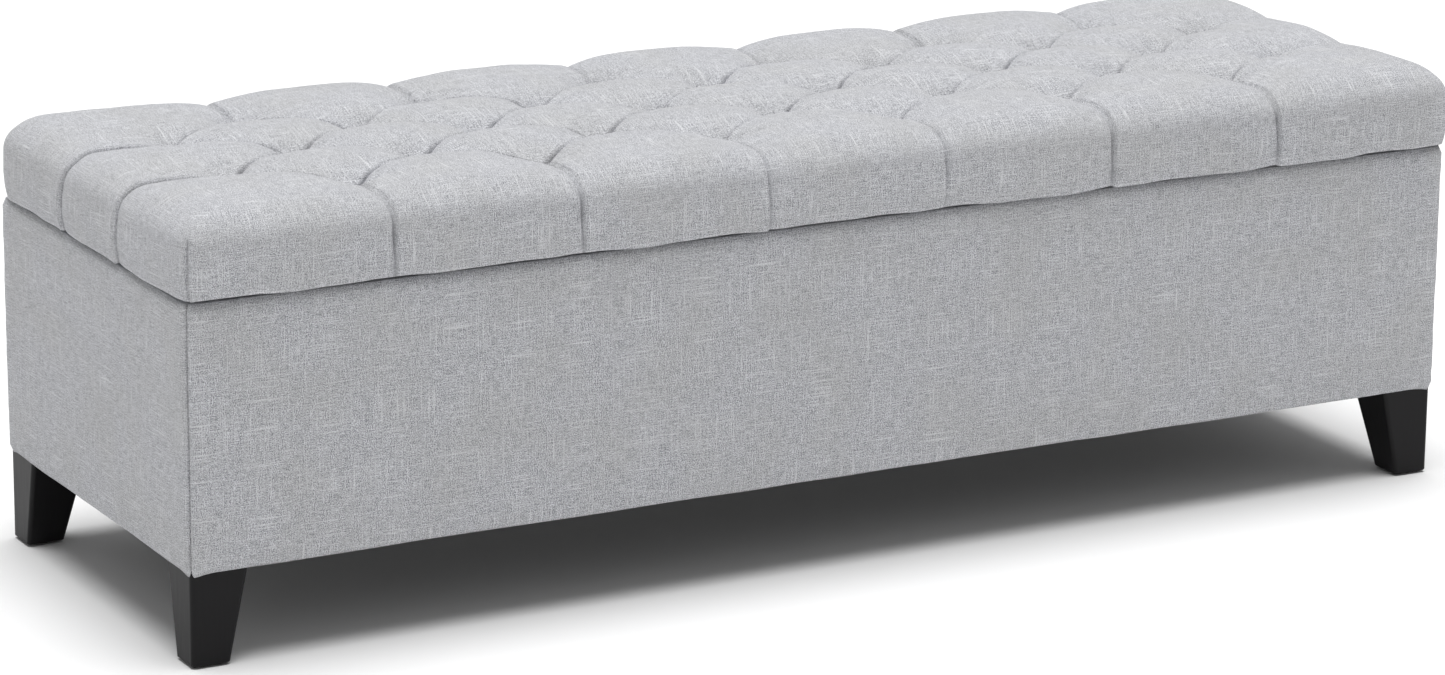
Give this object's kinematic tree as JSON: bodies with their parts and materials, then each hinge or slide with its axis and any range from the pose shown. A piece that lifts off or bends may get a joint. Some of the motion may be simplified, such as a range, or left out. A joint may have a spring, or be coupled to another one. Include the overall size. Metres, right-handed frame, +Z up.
{
  "type": "storage bench",
  "caption": "Upholstered storage bench with a hinged, diamond-tufted padded lid, two folding lid stays and tapered block legs.",
  "frame": {"origin": "on the floor, in the middle of the footprint", "axes": "+X along the bench, to the right seen from the front; the front faces -Y; +Z up"},
  "size_m": [1.301, 0.4424, 0.405],
  "materials": {
    "linen_fabric": "matte",
    "foam": "matte",
    "lining_fabric": "matte",
    "dust_fabric": "matte",
    "black_leg": "satin",
    "glide_plastic": "matte",
    "twine": "matte",
    "bumper_rubber": "matte",
    "plywood": "matte",
    "pine": "matte",
    "zinc_steel": "satin"
  },
  "bodies": {
    "base": {"back_panel": "plywood", "base_cover_back": "linen_fabric", "base_cover_front": "linen_fabric", "base_cover_left": "linen_fabric", "base_cover_right": "linen_fabric", "base_padding_back": "foam", "base_padding_front": "foam", "base_padding_left": "foam", "base_padding_right": "foam", "base_staples": "zinc_steel", "bottom_panel": "plywood", "centre_brace": "pine", "corner_blocks": "pine", "dust_cover": "dust_fabric", "floor_cleats": "pine", "front_panel": "plywood", "hinge_base_leaves": "zinc_steel", "hinge_base_screws": "zinc_steel", "hinge_pins": "zinc_steel", "hinge_rail": "pine", "left_panel": "plywood", "leg_back_left": "black_leg", "leg_back_right": "black_leg", "leg_bolts": "zinc_steel", "leg_front_left": "black_leg", "leg_front_right": "black_leg", "leg_glides": "glide_plastic", "leg_tee_nuts": "zinc_steel", "right_panel": "plywood", "rim_bumpers": "bumper_rubber", "stay_base_brackets": "zinc_steel", "stay_base_rivets": "zinc_steel", "stay_base_screws": "zinc_steel", "storage_lining": "lining_fabric"},
    "lid": {"hinge_lid_leaves": "zinc_steel", "hinge_lid_screws": "zinc_steel", "lid_board": "plywood", "lid_cover": "linen_fabric", "lid_foam": "foam", "lid_lining": "lining_fabric", "lid_staples": "zinc_steel", "stay_lid_brackets": "zinc_steel", "stay_lid_rivets": "zinc_steel", "stay_lid_screws": "zinc_steel", "tuft_anchors": "glide_plastic", "tuft_ties": "twine"},
    "stay_lower_left": {"stay_lower_arm_left": "zinc_steel", "stay_elbow_rivet_left": "zinc_steel"},
    "stay_upper_left": {"stay_upper_arm_left": "zinc_steel"},
    "stay_lower_right": {"stay_lower_arm_right": "zinc_steel", "stay_elbow_rivet_right": "zinc_steel"},
    "stay_upper_right": {"stay_upper_arm_right": "zinc_steel"}
  },
  "joints": [
    {"name": "lid_hinge", "type": "hinge", "parent": "base", "child": "lid", "pos_m": [0, 0.218, 0.32525], "axis": [-1, 0, 0], "range_deg": [0, 90]},
    {"name": "stay_lower_pivot_left", "type": "hinge", "parent": "base", "child": "stay_lower_left", "pos_m": [-0.624, 0.148, 0.21525], "axis": [-1, 0, 0], "range_deg": [0, 90]},
    {"name": "stay_upper_pivot_left", "type": "hinge", "parent": "lid", "child": "stay_upper_left", "pos_m": [-0.6212, 0.068, 0.30925], "axis": [-1, 0, 0], "range_deg": [-90, 0]},
    {"name": "stay_lower_pivot_right", "type": "hinge", "parent": "base", "child": "stay_lower_right", "pos_m": [0.624, 0.148, 0.21525], "axis": [-1, 0, 0], "range_deg": [0, 90]},
    {"name": "stay_upper_pivot_right", "type": "hinge", "parent": "lid", "child": "stay_upper_right", "pos_m": [0.6212, 0.068, 0.30925], "axis": [-1, 0, 0], "range_deg": [-90, 0]}
  ],
  "couplings": [
    {"joint": "stay_lower_pivot_left", "follows": "lid_hinge", "ratio": 1},
    {"joint": "stay_upper_pivot_left", "follows": "lid_hinge", "ratio": -1},
    {"joint": "stay_lower_pivot_right", "follows": "lid_hinge", "ratio": 1},
    {"joint": "stay_upper_pivot_right", "follows": "lid_hinge", "ratio": -1}
  ]
}
